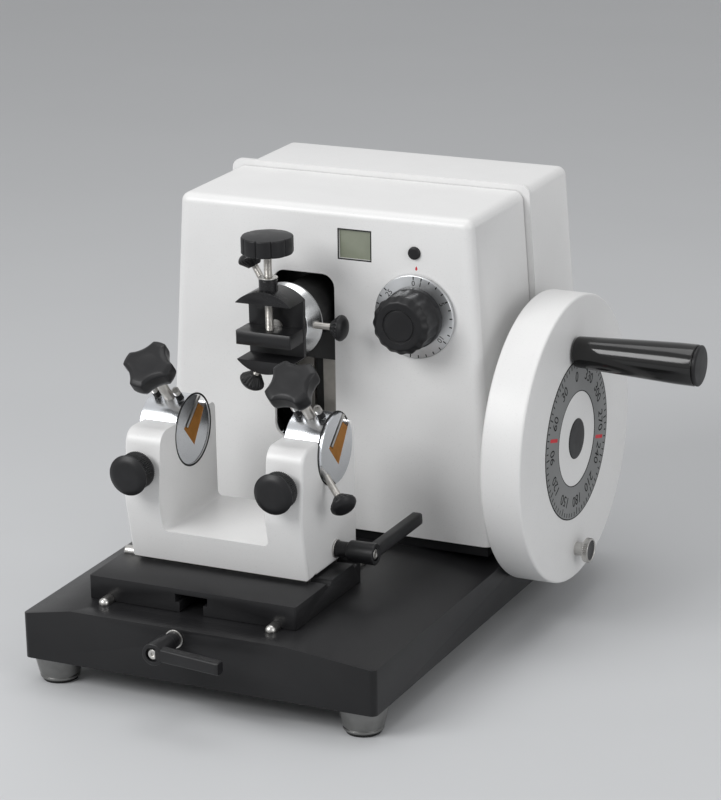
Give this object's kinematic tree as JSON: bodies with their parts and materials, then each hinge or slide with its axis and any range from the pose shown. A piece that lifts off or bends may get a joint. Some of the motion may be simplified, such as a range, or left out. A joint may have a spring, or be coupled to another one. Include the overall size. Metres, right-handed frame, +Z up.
{
  "type": "rotary microtome",
  "caption": "Bench rotary microtome: knife holder on a sliding saddle, specimen clamp on a vertical slide, side handwheel with crank, micron dial.",
  "frame": {"origin": "on the table, below the middle of the whole machine's bounding box", "axes": "+X to the operator's right, towards the handwheel; +Y from the operator to the machine's back; +Z up"},
  "size_m": [0.418, 0.434, 0.3094],
  "materials": {
    "white_enamel": "white enamel, semi-gloss, fine orange-peel",
    "black_enamel": "black enamel, satin",
    "black_plastic": "moulded black plastic, fine grain",
    "grip_plastic": "polished black plastic",
    "chrome": "bright chrome plate",
    "steel": "turned and ground steel",
    "satin_aluminium": "satin anodised",
    "brass": "machined brass",
    "iron": "machined cast iron, oiled",
    "blacked_steel": "blackened steel",
    "rubber": "matt black rubber",
    "display": "grey-green display window",
    "foot_metal": "dark grey, turned"
  },
  "bodies": {
    "frame": {"base_plate": "black_enamel", "feet": "foot_metal", "foot_pads": "rubber", "main_frame": "black_enamel", "slide_rods": "steel", "bearings": "steel", "front_casing": "white_enamel", "rear_cover": "white_enamel", "display_glass": "display", "saddle_t_bolt": "steel"},
    "reset_key": {"reset_button": "black_plastic"},
    "thickness_dial": {"micron_dial": "satin_aluminium", "micron_knob": "black_plastic", "dial_shaft": "steel"},
    "saddle_lever": {"front_lever": "black_plastic"},
    "saddle_block": {"saddle": "black_enamel", "cross_rods": "steel"},
    "holder_block": {"knife_holder": "white_enamel", "holder_t_bolt": "steel"},
    "holder_lever": {"side_lever": "black_plastic"},
    "left_lock": {"left_lock_knob": "black_plastic"},
    "right_lock": {"right_lock_knob": "black_plastic"},
    "left_knife_drum": {"left_drum": "chrome", "left_pad": "brass"},
    "right_knife_drum": {"right_drum": "chrome", "right_pad": "brass"},
    "left_pressure": {"left_plate": "steel"},
    "right_pressure": {"right_plate": "steel"},
    "left_star": {"left_star_knob": "black_plastic"},
    "right_star": {"right_star_knob": "black_plastic"},
    "pad_thumb_screw": {"pad_screw": "black_plastic"},
    "carriage": {"feed_carriage": "iron", "feed_nut": "brass", "guide_strips": "steel"},
    "slide": {"vertical_slide": "iron", "specimen_cup": "chrome"},
    "crank_block": {"yoke_block": "brass"},
    "ball_head": {"ball": "steel", "clamp_screw": "steel"},
    "clamp": {"clamp_body": "blacked_steel", "collar_bush": "blacked_steel"},
    "moving_jaw": {"jaw": "blacked_steel"},
    "clamp_spindle": {"jaw_screw": "steel", "jaw_knob": "black_plastic"},
    "screw_right": {"cup_screw_right": "black_plastic"},
    "screw_upper": {"cup_screw_upper": "black_plastic"},
    "screw_lower": {"cup_screw_lower": "black_plastic"},
    "drive_wheel": {"crankshaft": "steel", "handwheel": "white_enamel", "hub_cap": "black_plastic", "handle_spindle": "steel"},
    "grip": {"handle_grip": "grip_plastic"},
    "wheel_lock": {"wheel_lock_screw": "steel"},
    "feed_spindle": {"feed_screw": "steel", "ratchet_wheel": "steel"},
    "feed_arm": {"pawl_arm": "steel"},
    "feed_pawl": {"pawl": "steel"},
    "coarse_feed": {"coarse_wheel": "black_plastic"}
  },
  "joints": [
    {"name": "reset_press", "type": "slide", "parent": "frame", "child": "reset_key", "axis": [0, 1, 0], "range_m": [0, 0.002], "stiffness_N_per_m": 250, "springref_m": -0.001},
    {"name": "dial_turn", "type": "hinge", "parent": "frame", "child": "thickness_dial", "pos_m": [0.0156, 0.02499, 0.2324], "axis": [0, -1, 0], "range_deg": [0, 310]},
    {"name": "front_lever_swing", "type": "hinge", "parent": "frame", "child": "saddle_lever", "pos_m": [-0.0716, -0.179, 0.0519], "axis": [0, 1, 0], "range_deg": [-80, 30]},
    {"name": "saddle_slide", "type": "slide", "parent": "frame", "child": "saddle_block", "axis": [0, 1, 0], "range_m": [-0.024, 0.01]},
    {"name": "holder_slide", "type": "slide", "parent": "saddle_block", "child": "holder_block", "axis": [1, 0, 0], "range_m": [-0.01, 0.01]},
    {"name": "side_lever_swing", "type": "hinge", "parent": "holder_block", "child": "holder_lever", "pos_m": [-0.004, -0.067, 0.088], "axis": [1, 0, 0], "range_deg": [-12, 75]},
    {"name": "left_lock_turn", "type": "hinge", "parent": "holder_block", "child": "left_lock", "pos_m": [-0.1282, -0.119, 0.147], "axis": [0, -1, 0], "range_deg": [0, 180]},
    {"name": "right_lock_turn", "type": "hinge", "parent": "holder_block", "child": "right_lock", "pos_m": [-0.018, -0.119, 0.147], "axis": [0, -1, 0], "range_deg": [0, 180]},
    {"name": "left_drum_tilt", "type": "hinge", "parent": "holder_block", "child": "left_knife_drum", "pos_m": [-0.1282, -0.06581, 0.161], "axis": [1, 0, 0], "range_deg": [-10, 15]},
    {"name": "right_drum_tilt", "type": "hinge", "parent": "holder_block", "child": "right_knife_drum", "pos_m": [-0.018, -0.06581, 0.161], "axis": [1, 0, 0], "range_deg": [-10, 15]},
    {"name": "left_plate_slide", "type": "slide", "parent": "left_knife_drum", "child": "left_pressure", "axis": [0, -0.6626, 0.749], "range_m": [0, 0.0025]},
    {"name": "right_plate_slide", "type": "slide", "parent": "right_knife_drum", "child": "right_pressure", "axis": [0, -0.6626, 0.749], "range_m": [0, 0.0025]},
    {"name": "left_star_spin", "type": "hinge", "parent": "left_pressure", "child": "left_star", "pos_m": [-0.1282, -0.05794, 0.16796], "axis": [0, -0.6626, 0.749], "range_deg": [-5, 725]},
    {"name": "right_star_spin", "type": "hinge", "parent": "right_pressure", "child": "right_star", "pos_m": [-0.018, -0.05794, 0.16796], "axis": [0, -0.6626, 0.749], "range_deg": [-5, 725]},
    {"name": "pad_screw_turn", "type": "hinge", "parent": "right_knife_drum", "child": "pad_thumb_screw", "pos_m": [-0.0034, -0.08021, 0.14517], "axis": [0.7071, -0.4759, -0.523], "range_deg": [0, 360]},
    {"name": "feed_slide", "type": "slide", "parent": "frame", "child": "carriage", "axis": [0, -1, 0], "range_m": [0, 0.02]},
    {"name": "vertical_travel", "type": "slide", "parent": "carriage", "child": "slide", "axis": [0, 0, 1], "range_m": [-0.06, 0]},
    {"name": "crank_block_slide", "type": "slide", "parent": "slide", "child": "crank_block", "axis": [0, 1, 0], "range_m": [-0.03, 0.03]},
    {"name": "head_tilt", "type": "hinge", "parent": "slide", "child": "ball_head", "pos_m": [-0.0735, 0.001, 0.2266], "axis": [-1, 0, 0], "range_deg": [-6, 6]},
    {"name": "clamp_roll", "type": "hinge", "parent": "ball_head", "child": "clamp", "pos_m": [-0.0735, -0.01901, 0.2266], "axis": [0, -1, 0], "range_deg": [-60, 5]},
    {"name": "jaw_slide", "type": "slide", "parent": "clamp", "child": "moving_jaw", "axis": [0, 0, 1], "range_m": [-0.01, 0.019]},
    {"name": "jaw_screw_spin", "type": "hinge", "parent": "moving_jaw", "child": "clamp_spindle", "pos_m": [-0.0735, -0.02351, 0.2266], "axis": [0, 0, 1], "range_deg": [-3610, 6850]},
    {"name": "cup_screw_right_turn", "type": "hinge", "parent": "slide", "child": "screw_right", "pos_m": [-0.0735, -0.00051, 0.2266], "axis": [1, 0, 0], "range_deg": [0, 360]},
    {"name": "cup_screw_upper_turn", "type": "hinge", "parent": "slide", "child": "screw_upper", "pos_m": [-0.0735, -0.00051, 0.2266], "axis": [-0.5, 0, 0.866], "range_deg": [0, 360]},
    {"name": "cup_screw_lower_turn", "type": "hinge", "parent": "slide", "child": "screw_lower", "pos_m": [-0.0735, -0.00051, 0.2266], "axis": [-0.5, 0, -0.866], "range_deg": [0, 360]},
    {"name": "handwheel_spin", "type": "hinge", "parent": "frame", "child": "drive_wheel", "pos_m": [0.093, 0.0963, 0.1324], "axis": [1, 0, 0], "continuous": true},
    {"name": "grip_spin", "type": "hinge", "parent": "drive_wheel", "child": "grip", "pos_m": [0.143, 0.09299, 0.199], "axis": [1, 0, 0], "continuous": true},
    {"name": "wheel_lock_press", "type": "slide", "parent": "drive_wheel", "child": "wheel_lock", "axis": [-1, 0, 0], "range_m": [0, 0.007]},
    {"name": "feed_screw_spin", "type": "hinge", "parent": "frame", "child": "feed_spindle", "pos_m": [-0.0735, 0.18099, 0.1], "axis": [0, 1, 0], "range_deg": [-5, 3605]},
    {"name": "feed_arm_swing", "type": "hinge", "parent": "frame", "child": "feed_arm", "pos_m": [-0.0735, 0.174, 0.1], "axis": [0, -1, 0], "range_deg": [0, 12]},
    {"name": "pawl_lift", "type": "hinge", "parent": "feed_arm", "child": "feed_pawl", "pos_m": [-0.0465, 0.18099, 0.122], "axis": [0, 1, 0], "range_deg": [0, 10]},
    {"name": "coarse_spin", "type": "hinge", "parent": "frame", "child": "coarse_feed", "pos_m": [-0.187, 0.15849, 0.1], "axis": [1, 0, 0], "range_deg": [-5, 3605]}
  ],
  "couplings": [
    {"joint": "left_star_spin", "follows": "left_plate_slide", "rad_per_m": 5026.5},
    {"joint": "right_star_spin", "follows": "right_plate_slide", "rad_per_m": 5026.5},
    {"joint": "jaw_screw_spin", "follows": "jaw_slide", "rad_per_m": 6283.2},
    {"joint": "feed_screw_spin", "follows": "feed_slide", "rad_per_m": 3141.6},
    {"joint": "coarse_spin", "follows": "feed_slide", "rad_per_m": 3141.6}
  ]
}
